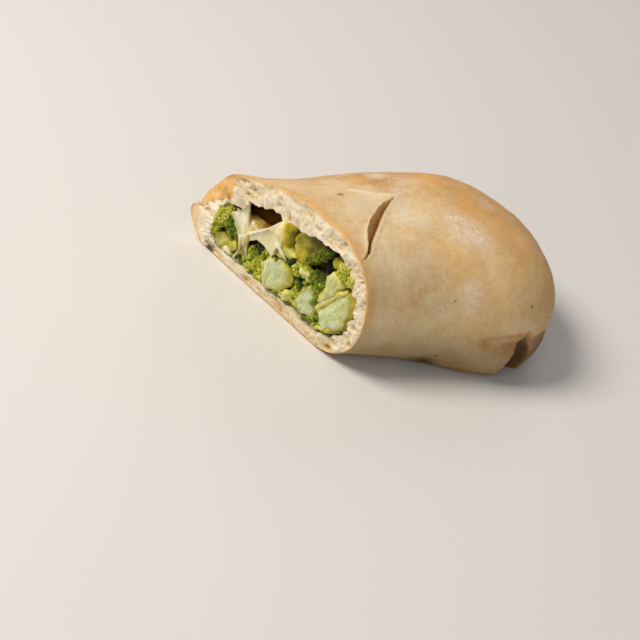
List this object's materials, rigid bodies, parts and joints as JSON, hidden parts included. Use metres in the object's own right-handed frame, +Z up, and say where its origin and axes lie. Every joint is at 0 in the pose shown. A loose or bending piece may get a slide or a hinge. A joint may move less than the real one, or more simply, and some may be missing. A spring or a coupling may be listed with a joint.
{
  "type": "broccoli stromboli half",
  "caption": "Half of a baked stromboli cut on the slant: domed crust with a vent slit over a broccoli and melted cheese filling, flat base.",
  "frame": {"origin": "middle of the box round the part, at the level of its flat base", "axes": "+X from the slanted cut face to the rounded closed end, -Y the tall round side, +Y the low side with the seam, +Z up"},
  "size_m": [0.1572, 0.1172, 0.0645],
  "materials": {
    "crust": "baked golden-tan crust with a dusting of flour, cream-white porous crumb where it is cut",
    "broccoli": "moist steamed broccoli florets and pale green stems",
    "cheese": "smooth melted ivory cheese with a soft shine"
  },
  "bodies": {
    "root": {"dough": "crust", "broccoli_filling": "broccoli", "melted_cheese": "cheese"}
  },
  "joints": []
}
